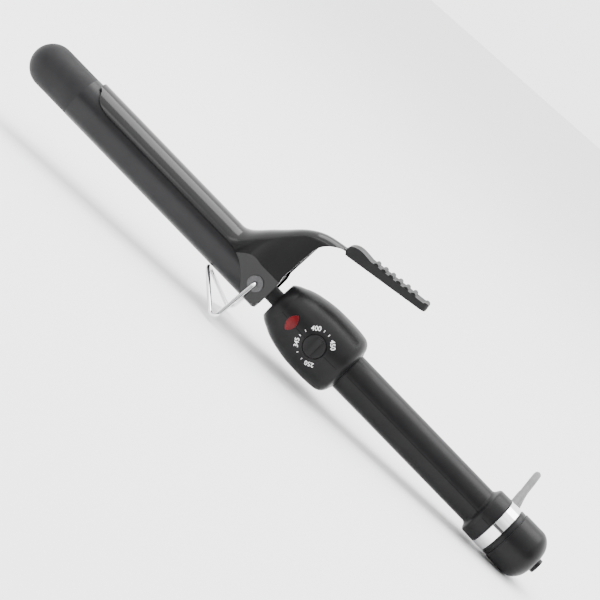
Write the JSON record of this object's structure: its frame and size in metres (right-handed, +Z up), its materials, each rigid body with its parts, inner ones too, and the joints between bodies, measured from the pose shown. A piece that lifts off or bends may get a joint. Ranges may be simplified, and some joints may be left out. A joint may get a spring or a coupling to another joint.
{
  "type": "curling iron",
  "caption": "Curling iron with a spring clamp and thumb lever over a round barrel, a folding wire stand, a temperature dial and a swivel cord.",
  "frame": {"origin": "bottom centre of the iron as it rests on its open stand and its end cap, without the cord", "axes": "+Z up, +X along the iron to the butt, the dial on -Y"},
  "size_m": [0.3748, 0.1581, 0.0794],
  "materials": {
    "tip_plastic": "heat resistant, fine matte",
    "barrel_coat": "satin ceramic coating",
    "clamp_coat": "gloss black enamel",
    "pad_plastic": "matte",
    "housing_plastic": "satin black",
    "chrome": "polished",
    "zinc": "zinc plated",
    "aluminium": "extruded",
    "ceramic": "ceramic heater, potted",
    "mica": "mica sheet",
    "lead_sleeve": "fibre sleeve",
    "red_lens": "translucent red",
    "lamp_glass": "neon lamp",
    "board": "glass fibre board",
    "cream_plastic": "moulded",
    "brass": "bare",
    "cord_jacket": "flexible jacket",
    "tie": "twist tie"
  },
  "bodies": {
    "handle": {"cool_tip": "tip_plastic", "barrel_tube": "barrel_coat", "tip_insulator": "mica", "heat_spreader_upper": "aluminium", "heat_spreader_lower": "aluminium", "heating_element": "ceramic", "thermal_fuse": "zinc", "heater_leads": "lead_sleeve", "barrel_mount": "tip_plastic", "pivot_eyelets": "zinc", "spring_bracket": "zinc", "spring_pin": "zinc", "clamp_spring": "zinc", "front_ring": "housing_plastic", "housing_upper": "housing_plastic", "housing_lower": "housing_plastic", "handle_upper": "housing_plastic", "handle_lower": "housing_plastic", "handle_screws": "zinc", "indicator_lens": "red_lens", "neon_lamp": "lamp_glass", "lamp_holder": "cream_plastic", "circuit_board": "board", "thermostat": "cream_plastic", "supply_leads": "lead_sleeve", "brush_holder": "cream_plastic", "brushes": "brass"},
    "clamp": {"clamp": "clamp_coat", "thumb_pad": "pad_plastic", "thumb_pad_rivets": "zinc"},
    "stand": {"stand_wire": "chrome"},
    "dial": {"dial_knob": "housing_plastic"},
    "swivel": {"slip_rings": "brass", "swivel_carrier": "housing_plastic", "swivel_ring": "chrome", "end_cap": "housing_plastic", "end_plug": "housing_plastic", "strain_relief": "cord_jacket", "cord_run": "cord_jacket", "cord_tail": "cord_jacket", "cord_hank": "cord_jacket", "cord_tie": "tie", "plug_relief": "cord_jacket", "plug_body": "cord_jacket", "plug_blades": "brass"}
  },
  "joints": [
    {"name": "clamp_open", "type": "hinge", "parent": "handle", "child": "clamp", "pos_m": [-0.0187, 0, 0.0289], "axis": [0, 1, 0], "range_deg": [0, 26], "stiffness_Nm_per_rad": 0.6, "springref_deg": -20.05},
    {"name": "stand_fold", "type": "hinge", "parent": "handle", "child": "stand", "pos_m": [-0.0187, 0, 0.0289], "axis": [0, -1, 0], "range_deg": [0, 90]},
    {"name": "dial_turn", "type": "hinge", "parent": "handle", "child": "dial", "pos_m": [0.02579, -0.017, 0.02573], "axis": [0, -1, 0], "range_deg": [-37, 209]},
    {"name": "cord_swivel", "type": "hinge", "parent": "handle", "child": "swivel", "pos_m": [0.1577, 0, 0.01632], "axis": [0.9975, 0, -0.0711], "continuous": true}
  ]
}
